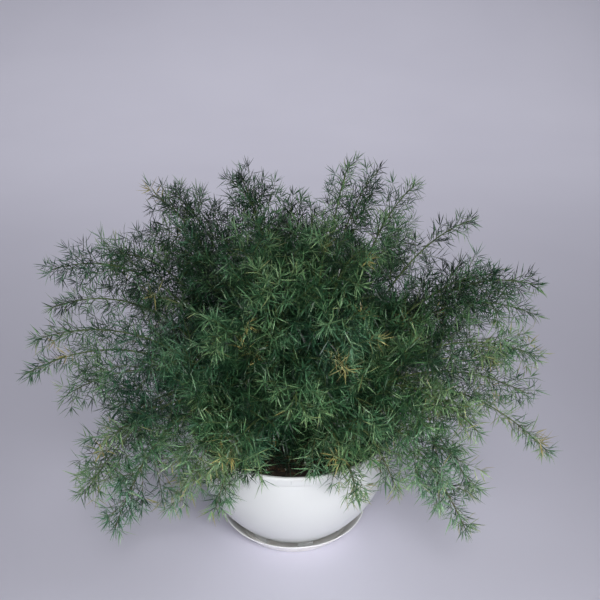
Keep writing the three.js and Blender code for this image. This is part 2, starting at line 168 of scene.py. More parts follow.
# The saucer is a shallow dish, moulded in white plastic with a thin wall that leans outward. The pot stands
# loose in it. Nearer the axis than its rim, the saucer is painted a patchy warm grey: painted shade where the
# overhanging pot darkens it, together with faint water stains.
MM = 0.001
SPIN_STEPS = 144
SAUCER_RADIUS = 92
SAUCER_HEIGHT = 24
SAUCER_FLOOR = 2.3
SAUCER_WALL = 1.9
SAUCER_BASE = 71
SAUCER_RECESS = 0.8
SAUCER_STAND = 4
SAUCER_STEP = 1
SAUCER_WHITE = (0.86, 0.86, 0.86, 1)
# This warm grey is painted shade under the overhanging pot as well as faint water stains. It darkens the
# saucer in patches everywhere nearer its axis than the rim.
SAUCER_STAIN_AND_SHADE = (0.78, 0.75, 0.71, 1)
SAUCER_STAIN_AND_SHADE_RADIUS = 0.0895
STAIN_AND_SHADE_FADE = 0.004
SHARP_FROM = math.radians(38)
ON_RING = 0.02
CORNER_STEPS = 3


def spun(outline, angle=math.tau, steps=SPIN_STEPS):
    """A shell turned about the Z axis from an outline of (radius, height) points."""
    bm = bmesh.new()
    points = [bm.verts.new((radius, 0, height)) for radius, height in outline]
    edges = [bm.edges.new(pair) for pair in zip(points, points[1:])]
    bmesh.ops.spin(
        bm, geom=points + edges, cent=(0, 0, 0), axis=(0, 0, 1), angle=angle, steps=steps, use_merge=True
    )
    bmesh.ops.remove_doubles(bm, verts=bm.verts, dist=1e-4)
    bmesh.ops.recalc_face_normals(bm, faces=bm.faces)
    return bm


def soften(bm, corner, width):
    """Bevels the ring edges of a turned shell that pass through a (radius, height) corner."""
    radius, height = corner

    def on_ring(vert):
        off = math.hypot(vert.co.x, vert.co.y) - radius
        return abs(off) < ON_RING and abs(vert.co.z - height) < ON_RING

    ring = [edge for edge in bm.edges if all(on_ring(vert) for vert in edge.verts)]
    bmesh.ops.bevel(
        bm, geom=ring, offset=width, segments=CORNER_STEPS, profile=0.5, affect="EDGES", material=-1
    )


def smooth_piece(bm, name, *materials):
    """Scales a piece to metres and shades it smooth, apart from its sharp edges."""
    bmesh.ops.scale(bm, vec=(MM, MM, MM), verts=bm.verts)
    for face in bm.faces:
        face.smooth = True
    piece = finish(bm, name, *materials)
    piece.data.set_sharp_from_angle(angle=SHARP_FROM)
    return piece


def white_plastic(name, colour, stain_and_shade, stain_and_shade_inside):
    """Glossy moulded plastic. Its stain lies inside the radius given, in metres, and fades out towards it. On
    the saucer this stain is also painted shade.
    """
    material, nodes, links, shader = new_material(name)
    coords = nodes.new("ShaderNodeTexCoord")
    parts = nodes.new("ShaderNodeSeparateXYZ")
    flat = nodes.new("ShaderNodeCombineXYZ")
    radius = nodes.new("ShaderNodeVectorMath")
    radius.operation = "LENGTH"
    inside = nodes.new("ShaderNodeMapRange")
    inside.inputs["From Min"].default_value = stain_and_shade_inside
    inside.inputs["From Max"].default_value = stain_and_shade_inside - STAIN_AND_SHADE_FADE
    patches = nodes.new("ShaderNodeTexNoise")
    patches.inputs["Scale"].default_value = 46
    patches.inputs["Detail"].default_value = 6
    patches.inputs["Distortion"].default_value = 0.6
    amount = nodes.new("ShaderNodeMapRange")
    amount.inputs["From Min"].default_value = 0.38
    amount.inputs["From Max"].default_value = 0.72
    amount.inputs["To Min"].default_value = 0.25
    amount.inputs["To Max"].default_value = 0.8
    share = nodes.new("ShaderNodeMath")
    share.operation = "MULTIPLY"
    tint = nodes.new("ShaderNodeMix")
    tint.data_type = "RGBA"
    tint.inputs["A"].default_value = colour
    tint.inputs["B"].default_value = stain_and_shade
    links.new(coords.outputs["Object"], parts.inputs["Vector"])
    links.new(parts.outputs["X"], flat.inputs["X"])
    links.new(parts.outputs["Y"], flat.inputs["Y"])
    links.new(flat.outputs["Vector"], radius.inputs[0])
    links.new(radius.outputs["Value"], inside.inputs["Value"])
    links.new(coords.outputs["Object"], patches.inputs["Vector"])
    links.new(patches.outputs["Fac"], amount.inputs["Value"])
    links.new(inside.outputs["Result"], share.inputs[0])
    links.new(amount.outputs["Result"], share.inputs[1])
    links.new(share.outputs["Value"], tint.inputs["Factor"])
    links.new(tint.outputs["Result"], shader.inputs["Base Color"])
    rubbed = nodes.new("ShaderNodeTexNoise")
    rubbed.inputs["Scale"].default_value = 30
    rubbed.inputs["Detail"].default_value = 4
    gloss = nodes.new("ShaderNodeMapRange")
    gloss.inputs["To Min"].default_value = 0.3
    gloss.inputs["To Max"].default_value = 0.46
    links.new(coords.outputs["Object"], rubbed.inputs["Vector"])
    links.new(rubbed.outputs["Fac"], gloss.inputs["Value"])
    links.new(gloss.outputs["Result"], shader.inputs["Roughness"])
    grain = nodes.new("ShaderNodeTexNoise")
    grain.inputs["Scale"].default_value = 700
    grain.inputs["Detail"].default_value = 3
    bump = nodes.new("ShaderNodeBump")
    bump.inputs["Strength"].default_value = 0.06
    bump.inputs["Distance"].default_value = 0.0002
    links.new(coords.outputs["Object"], grain.inputs["Vector"])
    links.new(grain.outputs["Fac"], bump.inputs["Height"])
    links.new(bump.outputs["Normal"], shader.inputs["Normal"])
    return material


bm = spun(
    [
        (0, SAUCER_RECESS),
        (SAUCER_BASE - SAUCER_STAND - SAUCER_STEP, SAUCER_RECESS),
        (SAUCER_BASE - SAUCER_STAND, 0),
        (SAUCER_BASE, 0),
        (SAUCER_RADIUS, SAUCER_HEIGHT),
        (SAUCER_RADIUS - SAUCER_WALL, SAUCER_HEIGHT),
        (SAUCER_BASE, SAUCER_FLOOR),
        (0, SAUCER_FLOOR),
    ]
)
soften(bm, (SAUCER_BASE, 0), 1.2)
soften(bm, (SAUCER_RADIUS, SAUCER_HEIGHT), 0.8)
soften(bm, (SAUCER_RADIUS - SAUCER_WALL, SAUCER_HEIGHT), 0.6)
soften(bm, (SAUCER_BASE, SAUCER_FLOOR), 1.4)
saucer_plastic = white_plastic("saucer_plastic", SAUCER_WHITE, SAUCER_STAIN_AND_SHADE, SAUCER_STAIN_AND_SHADE_RADIUS)
saucer_dish = smooth_piece(bm, "saucer_dish", saucer_plastic)
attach(saucer_dish, "root")
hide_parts("saucer")


# The pot is a 10 inch bowl of the same white plastic, moulded in one piece. A plain band stands out round its
# rim, four drain holes go through its floor, and its foot ring is broken into seven feet that let water out.
POT_HEIGHT = 151
RIM_RADIUS = 127
RIM_BAND = 12
RIM_LIP = 4
RIM_DRAFT = 1
RIM_EDGE = 2
BOWL_RADIUS = 123.2
BOWL_FLOOR = 10.5
BOWL_SWELL = 2.5
WALL = 2.8
BOWL_RINGS = 22
FOOT_RADIUS = 67.5
FOOT_THICKNESS = 3
FOOT_COUNT = 7
FOOT_SPAN = 21
FOOT_START = 274
DRAIN_RADIUS = 5
DRAIN_CIRCLE = 46
DRAIN_COUNT = 4
DRAIN_START = 45
DRAIN_SIDES = 32
FOOT_STEPS = 6
FOOT_EDGE = 0.5
# The pot's white is painted darker than the saucer's, though both are the same plastic: painted shade that
# tones down the light falling on the pot.
POT_WHITE_SHADED = (0.62, 0.635, 0.64, 1)
POT_STAIN = (0.6, 0.57, 0.52, 1)
POT_STAIN_RADIUS = 0.06
GAP = 0.3
BAND_FOOT = POT_HEIGHT - RIM_BAND
FLOOR_TOP = BOWL_FLOOR + WALL


def bowl_radius(height):
    share = (height - BOWL_FLOOR) / (BAND_FOOT - BOWL_FLOOR)
    return FOOT_RADIUS + (BOWL_RADIUS - FOOT_RADIUS) * (1 - (1 - share) ** BOWL_SWELL)


def spaced(low, high, count):
    return [low + (high - low) * i / (count - 1) for i in range(count)]


def join(bm, other):
    """Moves what another bmesh holds into this one."""
    carrier = bpy.data.meshes.new("carrier")
    other.to_mesh(carrier)
    other.free()
    bm.from_mesh(carrier)
    bpy.data.meshes.remove(carrier)


def cut(bm, other):
    """Returns this bmesh without the space that another one fills."""
    body, drill = finish(bm, "body"), finish(other, "drill")
    difference = body.modifiers.new("difference", "BOOLEAN")
    difference.solver = "EXACT"
    difference.object = drill
    left = bpy.data.meshes.new_from_object(body.evaluated_get(bpy.context.evaluated_depsgraph_get()))
    result = bmesh.new()
    result.from_mesh(left)
    for mesh in (left, body.data, drill.data):
        bpy.data.meshes.remove(mesh)
    return result


def drains():
    """The round holes in the bowl's floor, as the pegs that cut them."""
    bm = bmesh.new()
    for index in range(DRAIN_COUNT):
        way = math.radians(DRAIN_START + index * 360 / DRAIN_COUNT)
        place = Matrix.Translation((DRAIN_CIRCLE * math.cos(way), DRAIN_CIRCLE * math.sin(way), BOWL_FLOOR))
        bmesh.ops.create_cone(
            bm,
            cap_ends=True,
            segments=DRAIN_SIDES,
            radius1=DRAIN_RADIUS,
            radius2=DRAIN_RADIUS,
            depth=4 * WALL,
            matrix=place,
        )
    return bm


def pot_foot(index):
    inner, outer = FOOT_RADIUS - FOOT_THICKNESS, FOOT_RADIUS - GAP
    low, high = SAUCER_FLOOR + GAP, BOWL_FLOOR + WALL / 2
    section = [(inner, low), (outer, low), (outer, high), (inner, high), (inner, low)]
    foot = spun(section, math.radians(FOOT_SPAN), FOOT_STEPS)
    bmesh.ops.holes_fill(foot, edges=[edge for edge in foot.edges if edge.is_boundary], sides=4)
    bmesh.ops.recalc_face_normals(foot, faces=foot.faces)
    sharp = [edge for edge in foot.edges if edge.calc_face_angle(0) > math.radians(60)]
    bmesh.ops.bevel(
        foot, geom=sharp, offset=FOOT_EDGE, segments=2, profile=0.5, affect="EDGES", material=-1
    )
    turn = Matrix.Rotation(math.radians(FOOT_START + index * 360 / FOOT_COUNT), 4, "Z")
    bmesh.ops.transform(foot, matrix=turn, verts=foot.verts)
    return foot


outside = [(bowl_radius(height), height) for height in spaced(BOWL_FLOOR, BAND_FOOT, BOWL_RINGS)]
inside = [(bowl_radius(height) - WALL, height) for height in spaced(BAND_FOOT, FLOOR_TOP, BOWL_RINGS)]
bm = spun(
    [
        (0, BOWL_FLOOR),
        *outside,
        (RIM_RADIUS - RIM_DRAFT, BAND_FOOT + 2 * GAP),
        (RIM_RADIUS, POT_HEIGHT - RIM_EDGE),
        (RIM_RADIUS - RIM_DRAFT, POT_HEIGHT),
        (RIM_RADIUS - RIM_LIP, POT_HEIGHT),
        *inside,
        (0, FLOOR_TOP),
    ]
)
soften(bm, (FOOT_RADIUS, BOWL_FLOOR), 1.2)
soften(bm, (RIM_RADIUS - RIM_DRAFT, BAND_FOOT + 2 * GAP), 0.7)
soften(bm, (RIM_RADIUS, POT_HEIGHT - RIM_EDGE), 0.7)
soften(bm, (RIM_RADIUS - RIM_DRAFT, POT_HEIGHT), 0.6)
soften(bm, (RIM_RADIUS - RIM_LIP, POT_HEIGHT), 0.9)
bm = cut(bm, drains())
for index in range(FOOT_COUNT):
    join(bm, pot_foot(index))
pot_plastic = white_plastic("pot_plastic", POT_WHITE_SHADED, POT_STAIN, POT_STAIN_RADIUS)
pot_bowl = smooth_piece(bm, "pot_bowl", pot_plastic)
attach(pot_bowl, "root")
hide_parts("pot")


# The soil is damp potting mix, filled to about 20 mm under the rim. Its top is crumbly, with bits of bark and
# a few white grains of perlite.
SOIL_TOP = 130
SOIL_RINGS = 46
SOIL_WALL_RINGS = 12
SOIL_SAG = 2
SOIL_ROUNDING = 1
CRUMB_SIZE = 4.5
CRUMB_DEPTH = 2.6
CRUMBS_END = 3
SOIL_SEED = 7
CHIPS = 320
CHIPS_REACH = 110
CHIP_LIFT = 0.8
CHIP_ROUGH = 0.35
CHIP_LUMPS = 0.9
BARK_SIZES = (1.5, 4.5)
BARK_SHAPE = (1.5, 0.7, 0.45)
BARK_DARK = (0.02, 0.011, 0.006, 1)
BARK_PALE = (0.10, 0.055, 0.028, 1)
PERLITE_SHARE = 0.16
PERLITE_SIZES = (1.2, 2.2)
PERLITE_DARK = (0.55, 0.53, 0.5, 1)
PERLITE_PALE = (0.8, 0.79, 0.77, 1)


def soil_material():
    material, nodes, links, shader = new_material("potting_soil")
    coords = nodes.new("ShaderNodeTexCoord")
    crumbs = nodes.new("ShaderNodeTexNoise")
    crumbs.inputs["Scale"].default_value = 240
    crumbs.inputs["Detail"].default_value = 8
    tint = nodes.new("ShaderNodeValToRGB")
    tint.color_ramp.elements[0].position = 0.35
    tint.color_ramp.elements[0].color = (0.006, 0.004, 0.003, 1)
    tint.color_ramp.elements[1].position = 0.7
    tint.color_ramp.elements[1].color = (0.050, 0.033, 0.022, 1)
    bump = nodes.new("ShaderNodeBump")
    bump.inputs["Strength"].default_value = 0.8
    bump.inputs["Distance"].default_value = 0.0012
    links.new(coords.outputs["Object"], crumbs.inputs["Vector"])
    links.new(crumbs.outputs["Fac"], tint.inputs["Fac"])
    links.new(tint.outputs["Color"], shader.inputs["Base Color"])
    links.new(crumbs.outputs["Fac"], bump.inputs["Height"])
    links.new(bump.outputs["Normal"], shader.inputs["Normal"])
    shader.inputs["Roughness"].default_value = 0.86
    return material


def chip_material(name, dark, pale):
    material, nodes, links, shader = new_material(name)
    coords = nodes.new("ShaderNodeTexCoord")
    fibres = nodes.new("ShaderNodeTexNoise")
    fibres.inputs["Scale"].default_value = 600
    fibres.inputs["Detail"].default_value = 5
    tint = nodes.new("ShaderNodeValToRGB")
    tint.color_ramp.elements[0].color = dark
    tint.color_ramp.elements[1].color = pale
    bump = nodes.new("ShaderNodeBump")
    bump.inputs["Strength"].default_value = 0.5
    bump.inputs["Distance"].default_value = 0.0005
    links.new(coords.outputs["Object"], fibres.inputs["Vector"])
    links.new(fibres.outputs["Fac"], tint.inputs["Fac"])
    links.new(tint.outputs["Color"], shader.inputs["Base Color"])
    links.new(fibres.outputs["Fac"], bump.inputs["Height"])
    links.new(bump.outputs["Normal"], shader.inputs["Normal"])
    shader.inputs["Roughness"].default_value = 0.8
    return material


def soil_edge(height):
    return bowl_radius(height) - WALL - 2 * GAP


soil_low = FLOOR_TOP + GAP
soil_shoulder = SOIL_TOP - SOIL_SAG
soil_rim = soil_edge(soil_shoulder)
wall_line = [(soil_edge(height), height) for height in spaced(soil_low, soil_shoulder, SOIL_WALL_RINGS)]
top_line = [(radius, SOIL_TOP) for radius in spaced(soil_rim - SOIL_ROUNDING, 0, SOIL_RINGS)]
bm = spun([(0, soil_low), *wall_line, *top_line])
for vert in bm.verts:
    radius = math.hypot(vert.co.x, vert.co.y)
    if vert.co.z > soil_shoulder and radius < soil_rim - CRUMBS_END:
        lump = noise.fractal(vert.co / CRUMB_SIZE, 0.8, 2.1, 3)
        vert.co.z += CRUMB_DEPTH * lump
draw = random.Random(SOIL_SEED)
for index in range(CHIPS):
    is_perlite = draw.random() < PERLITE_SHARE
    size = draw.uniform(*(PERLITE_SIZES if is_perlite else BARK_SIZES))
    chip = bmesh.ops.create_icosphere(bm, subdivisions=1, radius=size)["verts"]
    if not is_perlite:
        bmesh.ops.scale(bm, vec=BARK_SHAPE, verts=chip)
    for vert in chip:
        vert.co *= 1 + CHIP_ROUGH * noise.noise(vert.co * CHIP_LUMPS + Vector((index, 0, 0)))
    bmesh.ops.rotate(bm, matrix=Matrix.Rotation(draw.uniform(0, math.tau), 3, "Z"), verts=chip)
    way = draw.uniform(0, math.tau)
    out = CHIPS_REACH * math.sqrt(draw.random())
    place = (out * math.cos(way), out * math.sin(way), SOIL_TOP + CHIP_LIFT)
    bmesh.ops.translate(bm, vec=place, verts=chip)
    for face in {face for vert in chip for face in vert.link_faces}:
        face.material_index = 2 if is_perlite else 1
soil_bed = smooth_piece(
    bm,
    "soil_bed",
    soil_material(),
    chip_material("bark_chips", BARK_DARK, BARK_PALE),
    chip_material("perlite_grains", PERLITE_DARK, PERLITE_PALE),
)
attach(soil_bed, "root")
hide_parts("soil")


# The fronds are wiry stems that rise from the crown, arch over and hang. Each is grown in one piece: a green
# stem, thin branchlets all round it, and on these whorls of flat, narrow needles that end in a point.
CROWN_HEART = 10
CROWN_RADIUS = 46
CROWN_FULL_REACH = 260
CROWN_STAGGER = 9
BEND = 0.42
SWAY = 0.3
SWAY_DRAW = 74
TURN_DRAW = 5
STEM_SUNK = 7
STEM_FOOT = 1.7
STEM_TIP = 0.55
GOLDEN_ANGLE = math.radians(137.508)
GOLDEN_SHARE = 0.618034
STEM_POINTS = 64

# The fronds that make the outline: bearing in degrees (0 to the right, 90 to the back), reach, height of the
# tip, height that the arch is pulled to, and length of the longest branchlets, which WIDER stretches. The
# rows were first listed, and their last values were settled by a search that kept the fronds apart.
OUTER_FRONDS = [
    (55, 118, 448, 400, 38),
    (40, 132, 440, 396, 42),
    (29, 164, 422, 392, 46),
    (127, 105, 436, 388, 64),
    (153, 190, 410, 388, 60),
    (143, 191, 405, 385, 55),
    (165, 242, 340, 376, 50),
    (172, 290, 332, 378, 46),
    (180, 282, 300, 346, 22),
    (185, 296, 272, 332, 32),
    (193, 308, 250, 312, 20),
    (194, 264, 222, 304, 48),
    (203, 226, 174, 290, 44),
    (211, 267, 138, 298, 46),
    (220, 252, 112, 288, 46),
    (226, 192, 120, 262, 42),
    (11, 212, 394, 364, 28),
    (5, 238, 334, 352, 34),
    (-5, 274, 340, 360, 42),
    (-6, 274, 306, 350, 44),
    (-13, 278, 270, 332, 46),
    (-17, 274, 232, 310, 44),
    (-23, 306, 180, 288, 16),
    (-28, 232, 200, 300, 40),
    (-34, 240, 140, 285, 40),
    (-41, 250, 110, 275, 38),
    (-56, 198, 164, 258, 30),
    (-65, 166, 148, 240, 44),
    (-117, 182, 138, 241, 32),
    (40, 250, 150, 330, 56),
    (73, 245, 140, 320, 56),
    (107, 250, 150, 325, 56),
    (141, 250, 160, 330, 56),
    (40, 204, 330, 364, 56),
    (93, 205, 316, 352, 56),
    (136, 210, 305, 345, 56),
]

# The other fronds run from one shape to another. A shape is reach, height, arch height and branchlet length.
CROWN_FRONDS = 5
CROWN_BEARING = 38
CROWN_FROM = (25, 412, 406, 58)
CROWN_TO = (100, 398, 406, 58)
FRONT_FRONDS = 10
FRONT_BEARING = -190
FRONT_SPREAD = 200
FRONT_OFFSET = 0.8
FRONT_FROM = (90, 400, 400, 56)
FRONT_TO = (160, 170, 240, 56)


def shape_between(low, high, share):
    return [a + (b - a) * share for a, b in zip(low, high)]


def frond_rows():
    """The outline's fronds, then the nearly upright ones of the crown, then those of the front."""
    rows = list(OUTER_FRONDS)
    for index in range(CROWN_FRONDS):
        shape = shape_between(CROWN_FROM, CROWN_TO, (index + 0.5) / CROWN_FRONDS)
        rows.append((math.degrees(GOLDEN_ANGLE) * index + CROWN_BEARING, *shape))
    for index in range(FRONT_FRONDS):
        shape = shape_between(FRONT_FROM, FRONT_TO, (index + 0.5) / FRONT_FRONDS)
        bearing = FRONT_BEARING + FRONT_SPREAD * ((GOLDEN_SHARE * index + FRONT_OFFSET) % 1)
        rows.append((bearing, *shape))
    return rows


def chance(number, salt):
    """A number from 0 to 1 that depends on nothing but the two numbers given."""
    x = math.sin(number * 12.9898 + salt * 78.233) * 43758.5453
    return x - math.floor(x)


def stem_path(number, row):
    """Points along a stem, from inside the soil to its tip."""
    bearing, reach, height, crest, _ = row
    out = Vector((math.cos(math.radians(bearing)), math.sin(math.radians(bearing)), 0))
    across = Vector((-out.y, out.x, 0))
    start = CROWN_HEART + (CROWN_RADIUS - CROWN_HEART) * min(1, reach / CROWN_FULL_REACH)
    start -= CROWN_STAGGER * (number % 2)
    sway = (chance(number, SWAY_DRAW) - 0.5) * SWAY * reach
    foot = out * start + Vector((0, 0, SOIL_TOP))
    middle = out * (start + (reach - start) * BEND) + across * sway + Vector((0, 0, crest))
    end = out * reach + Vector((0, 0, height))
    held = (foot.lerp(middle, 2 / 3), end.lerp(middle, 2 / 3))
    points = interpolate_bezier(foot, *held, end, STEM_POINTS)
    sunk = foot - (points[1] - foot).normalized() * STEM_SUNK
    return [sunk, *points]


class Path:
    """A line of points that gives the place and the direction at a distance along it."""

    def __init__(self, points):
        self.points = points
        self.marks = [0.0]
        for a, b in zip(points, points[1:]):
            self.marks.append(self.marks[-1] + (b - a).length)
        self.length = self.marks[-1]

    def at(self, distance):
        distance = min(max(distance, 0), self.length - 1e-6)
        index = next(i for i, mark in enumerate(self.marks[1:]) if mark > distance)
        a, b = self.points[index], self.points[index + 1]
        share = (distance - self.marks[index]) / (self.marks[index + 1] - self.marks[index])
        return a.lerp(b, share), (b - a).normalized()


# Branchlets stand all round the stem, closer together and leaning further forward towards its tip. Lengths
# are in millimetres and leans in degrees. A pair of values holds the least and the most of a random draw.
BARE_STEM = 14
BARE_SHARE = 0.05
STEM_END = 6
BRANCHLET_EVERY = 8.3
HANGING_EVERY = 3.6
HANGING_BELOW = 240
SPACING = (0.6, 1.4)
SPARSE = 1.04
CROWDING = 0.44
WIDER = 1.4
BRANCHLET_SIZES = (0.62, 1.24)
BRANCHLET_LEAN = 64
BRANCHLET_CLOSING = 24
BRANCHLET_LEANS = (-16, 16)
BRANCHLET_TURNS = (-0.45, 0.45)
BRANCHLET_TRIES = 5
BRANCHLET_ROOM = 2
BRANCHLET_FORWARD = 0.25
BACK_REACH = 246
DROOP = -0.22
DROOPS = (-0.35, 0.35)
CROOKED = 0.17
TWIG_RADIUS = 0.4
TWIG_TAPER = 0.45

# A long branchlet forks at these shares of its length.
FORK_FROM = 34
FORKS = (0.25, 0.5, 0.72)
FORK_LEANS = (40, 68)
FORK_SIZES = (0.35, 0.75)

# Needles stand in whorls on the branchlets, with a star of them at each tip. They are shorter near the end
# of the frond, where it is young.
WHORL_EVERY = 8.0
WHORL_TURN = 67
WHORL_TURNS = (0, 0.8)
WHORL_COUNTS = (3, 3, 4)
NEEDLE_LENGTH = 24
NEEDLE_SIZES = (0.62, 1.18)
NEEDLE_WIDTH = 1.0
NEEDLE_WIDTHS = (0.85, 1.1)
NEEDLE_THICKNESS = 0.5
NEEDLE_ROLLS = (-0.9, 0.9)
NEEDLE_TURNS = (-0.5, 0.5)
NEEDLE_LEAN = 62
NEEDLE_LEANS = (-22, 20)
POT_ROOM = 2
YOUTH_FROM = 1.22
YOUTH_LOSS = 0.45
STAR_COUNT = 4
STAR_TURN = 2.1
STAR_MIDDLE_LEANS = (4, 16)
STAR_LEANS = (24, 50)
STAR_SIZES = (0.6, 0.95)

# The end of the stem carries whorls of its own.
TIP_STRETCH = 50
TIP_EVERY = 6
TIP_COUNT = 3
TIP_LEAN = 60
TIP_CLOSING = 26
TIP_LEANS = (-14, 14)
TIP_LENGTH = 19
TIP_SHORTENING = 4
TIP_SIZES = (0.8, 1.2)

# Tints run from 0, the deepest green, to 1, straw. High fronds are deeper and low ones paler: painted shade
# on the top of the plant, and painted light on the fronds that arch low into the lamps' light. The young ends
# are paler.
LOW_FROND_PAINTED_LIGHT = 0.29
HIGH_FROND_PAINTED_SHADE = -0.02
LIGHT_AND_SHADE_HEIGHT = 440
FROND_TINTS = (-0.12, 0.12)
FROND_PALING = 0.34
BRANCHLET_TINTS = (-0.2, 0.2)
# Needles near a branchlet's root, deep in the plant, are darker and those at its young end paler: painted
# shade, and the paler young growth.
BRANCHLET_PALING_AND_SHADE = 0.22
NEEDLE_TINTS = (-0.17, 0.17)
STAR_PALING = 0.16
STAR_TINTS = (-0.1, 0.1)
TIP_PALING = 0.28
YELLOWING = 0.86
DRY_SHARE = 0.012


def needle_shape(curve):
    """One needle, a unit long: three-sided, flat above, keeled beneath, pointed at both ends.

    It is widest at 0.18 of its length, and tapers little as far as 0.64.
    """
    bm = bmesh.new()
    made = bmesh.ops.create_cone(
        bm, cap_ends=True, cap_tris=True, segments=3, radius1=1, radius2=0.8, depth=0.46
    )
    bmesh.ops.scale(bm, vec=(1 / math.sqrt(3), 1 / 1.5, 1), verts=made["verts"])
    bmesh.ops.translate(bm, vec=(0, 0, 0.41), verts=made["verts"])
    along = bm.verts.layers.float.new("along")
    for vert in bm.verts:
        if math.hypot(vert.co.x, vert.co.y) < 0.01:
            vert.co.z = 0 if vert.co.z < 0.4 else 1
        vert[along] = vert.co.z
        vert.co.y += curve * 4 * vert.co.z * (1 - vert.co.z)
    return settled(bm)


def slight_needle(curve):
    """A plainer needle: three-sided, widest at 0.38 of its length, pointed at both ends."""
    bm = bmesh.new()
    made = bmesh.ops.create_cone(
        bm, cap_ends=True, cap_tris=True, segments=3, radius1=1, radius2=0, depth=0.62
    )
    bmesh.ops.scale(bm, vec=(1.25 / math.sqrt(3), 1.1 / 1.5, 1), verts=made["verts"])
    bmesh.ops.translate(bm, vec=(0, curve, 0.69), verts=made["verts"])
    along = bm.verts.layers.float.new("along")
    for vert in bm.verts:
        if math.hypot(vert.co.x, vert.co.y - curve) < 0.01:
            vert.co.y = 0
            vert.co.z = 0 if vert.co.z < 0.5 else 1
        vert[along] = vert.co.z
    return settled(bm)


def settled(bm):
    bmesh.ops.recalc_face_normals(bm, faces=bm.faces)
    mesh = bpy.data.meshes.new("needle")
    bm.to_mesh(mesh)
    bm.free()
    return mesh


NEEDLES = [needle_shape(curve) for curve in (-3.0, -1.6, -0.5, 0.5, 1.6, 3.0)]
SLIGHT_NEEDLES = [slight_needle(curve) for curve in (-2.4, -1.2, -0.4, 0.4, 1.2, 2.4)]
MIXED_NEEDLES = NEEDLES + 2 * SLIGHT_NEEDLES


def across_of(direction):
    side = direction.cross(Vector((0, 0, 1)))
    if side.length < 1e-3:
        side = Vector((1, 0, 0))
    side.normalize()
    return side, side.cross(direction).normalized()


def leaning(direction, angle, lean):
    side, over = across_of(direction)
    outward = side * math.cos(angle) + over * math.sin(angle)
    return (direction * math.cos(lean) + outward * math.sin(lean)).normalized()


def clear_of_pot(point, margin=1.0):
    radius = math.hypot(point.x, point.y)
    if point.z > POT_HEIGHT + margin or radius > RIM_RADIUS + margin:
        return True
    if point.z > BAND_FOOT - POT_ROOM:
        outer = RIM_RADIUS
    else:
        outer = bowl_radius(max(point.z, BOWL_FLOOR))
    if radius > outer + margin:
        return True
    return point.z > SOIL_TOP + POT_ROOM and radius < RIM_RADIUS - RIM_LIP - WALL - margin


def add_needle(bm, shapes, root, direction, length, tone, draw):
    tip = root + direction * length
    if not clear_of_pot(tip) or not clear_of_pot(root.lerp(tip, 0.5)):
        return
    side, over = across_of(direction)
    roll = draw.uniform(*NEEDLE_ROLLS)
    flat = side * math.cos(roll) + over * math.sin(roll)
    up = flat.cross(direction)
    width = NEEDLE_WIDTH * draw.uniform(*NEEDLE_WIDTHS)
    columns = (flat * width, -up * NEEDLE_THICKNESS, direction * length)
    place = Matrix.Translation(root) @ Matrix(columns).transposed().to_4x4()
    first = len(bm.verts)
    bm.from_mesh(draw.choice(shapes))
    bm.verts.ensure_lookup_table()
    verts = bm.verts[first:]
    bmesh.ops.transform(bm, matrix=place, verts=verts)
    tones = bm.verts.layers.float["tone"]
    for vert in verts:
        vert[tones] = tone


def branchlet_length(width, share):
    """Branchlets reach full length at 0.3 of the stem, and shorten from its middle to 0.17 at its tip."""
    rise = 0.85 + 0.15 * min(1, share / 0.3)
    fall = 1 - 0.83 * max(0, (share - 0.5) / 0.5) ** 1.3
    return width * rise * fall


def branchlet_path(root, start, along, length, droop, draw):
    """Points one whorl apart. The branchlet turns a little to the frond's tip, droops, and is crooked."""
    count = max(2, round(length / WHORL_EVERY))
    points = [root]
    for step in range(1, count + 1):
        share = step / count
        stray = Vector([draw.uniform(-1, 1) for _ in range(3)]) * CROOKED
        forward = along * BRANCHLET_FORWARD * share
        way = (start + forward + Vector((0, 0, droop * share)) + stray).normalized()
        points.append(points[-1] + way * length / count)
    return points


def dress(bm, shapes, points, youth, tint, draw):
    """Adds a branchlet's needles: a whorl at each point, and a star at the tip."""
    last = len(points) - 1
    for index in range(1, last + 1):
        share = index / last
        way = (points[index] - points[index - 1]).normalized()
        turn = math.radians(WHORL_TURN * index) + draw.uniform(*WHORL_TURNS)
        count = draw.choice(WHORL_COUNTS)
        for spoke in range(count):
            angle = turn + spoke * math.tau / count + draw.uniform(*NEEDLE_TURNS)
            lean = math.radians(NEEDLE_LEAN + draw.uniform(*NEEDLE_LEANS))
            length = NEEDLE_LENGTH * draw.uniform(*NEEDLE_SIZES) * youth
            # Painted shade: needles are darker near the branchlet's root, deep in the plant, and paler
            # towards its young end.
            tone = tint + BRANCHLET_PALING_AND_SHADE * share + draw.uniform(*NEEDLE_TINTS)
            add_needle(bm, shapes, points[index], leaning(way, angle, lean), length, tone, draw)
    way = (points[-1] - points[-2]).normalized()
    for spoke in range(STAR_COUNT):
        lean = math.radians(draw.uniform(*(STAR_LEANS if spoke else STAR_MIDDLE_LEANS)))
        length = NEEDLE_LENGTH * draw.uniform(*STAR_SIZES) * youth
        star = leaning(way, spoke * STAR_TURN + turn, lean)
        tone = tint + STAR_PALING + draw.uniform(*STAR_TINTS)
        add_needle(bm, shapes, points[-1], star, length, tone, draw)


def tubes(paths, rings):
    """The mesh of round tapering tubes, one for each list of (place, radius)."""
    curve = bpy.data.curves.new("tubes", "CURVE")
    curve.dimensions = "3D"
    curve.bevel_depth = 1
    curve.bevel_resolution = rings
    curve.use_fill_caps = True
    for path in paths:
        spline = curve.splines.new("POLY")
        spline.points.add(len(path) - 1)
        for point, (place, radius) in zip(spline.points, path):
            point.co = (*place, 1)
            point.radius = radius
    holder = bpy.data.objects.new("tubes", curve)
    mesh = bpy.data.meshes.new_from_object(holder)
    bpy.data.objects.remove(holder)
    bpy.data.curves.remove(curve)
    return mesh


